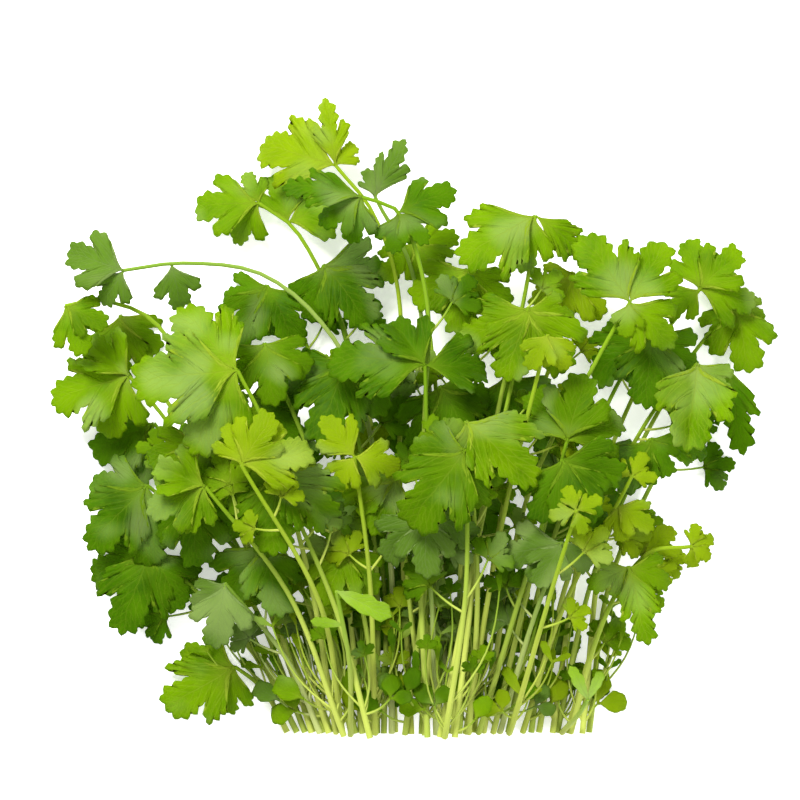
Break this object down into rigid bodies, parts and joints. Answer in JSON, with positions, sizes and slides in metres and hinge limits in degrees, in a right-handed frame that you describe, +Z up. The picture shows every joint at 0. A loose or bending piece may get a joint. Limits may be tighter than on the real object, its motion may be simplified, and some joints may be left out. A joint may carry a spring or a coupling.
{
  "type": "cilantro bunch",
  "caption": "Loose, untied bunch of herb stems laid flat: thin pale stalks fan out from one straight cut edge to lobed, fan-shaped green leaflets.",
  "frame": {"origin": "under the middle of the bunch's bounding box, on the surface it lies on", "axes": "+X across the fan, to the right of the picture; +Y along the stems from their cut ends to the crown; +Z up from the surface, toward the picture's camera"},
  "size_m": [0.292, 0.2575, 0.0766],
  "materials": {
    "leaf_fresh": "satin, bright mid green",
    "leaf_dark": "satin, deeper green of the shaded leaves",
    "leaf_young": "satin, yellow green of the young leaves",
    "leaf_pale": "matt, grey green of leaves seen from below",
    "leaf_seed": "satin, pale green of the narrow seed leaves"
  },
  "bodies": {
    "root": {"low_left": "leaf_dark", "left_fall": "leaf_dark", "foot_leaf": "leaf_fresh", "back_arch": "leaf_dark", "back_left": "leaf_fresh", "broad_back": "leaf_dark", "mid_back": "leaf_dark", "right_back": "leaf_dark", "dark_left": "leaf_dark", "inner_left": "leaf_dark", "front_gap": "leaf_dark", "edge_right": "leaf_fresh", "narrow_right": "leaf_dark", "upper_left": "leaf_fresh", "crown_back": "leaf_young", "crown_fold": "leaf_pale", "back_top": "leaf_fresh", "left_cluster": "leaf_fresh", "young_curl": "leaf_young", "shade_left": "leaf_dark", "shade_mid": "leaf_dark", "mid_right": "leaf_dark", "core": "leaf_dark", "far_right": "leaf_fresh", "arching_pair": "leaf_fresh", "hook": "leaf_fresh", "arch": "leaf_pale", "ash_left": "leaf_pale", "low_mid": "leaf_dark", "upper_fan": "leaf_fresh", "low_core": "leaf_fresh", "hang_right": "leaf_fresh", "dark_right": "leaf_dark", "dip_left": "leaf_fresh", "mid_left": "leaf_fresh", "stoop": "leaf_fresh", "tall_right": "leaf_fresh", "reach_right": "leaf_young", "low_right": "leaf_fresh", "curl_right": "leaf_dark", "grey_mid": "leaf_pale", "umbrella": "leaf_dark", "fan_right": "leaf_fresh", "long_dark": "leaf_dark", "sprout_right": "leaf_young", "small_left": "leaf_fresh", "grey_right": "leaf_pale", "tuft_left": "leaf_young", "perch_right": "leaf_fresh", "spread_right": "leaf_fresh", "young_mid": "leaf_young", "fold_mid": "leaf_fresh", "drop_right": "leaf_dark", "big_left": "leaf_fresh", "seed_leaf": "leaf_seed", "face_mid": "leaf_fresh", "bright_left": "leaf_young", "tuft_right": "leaf_young", "seed_pair": "leaf_seed"}
  },
  "joints": []
}
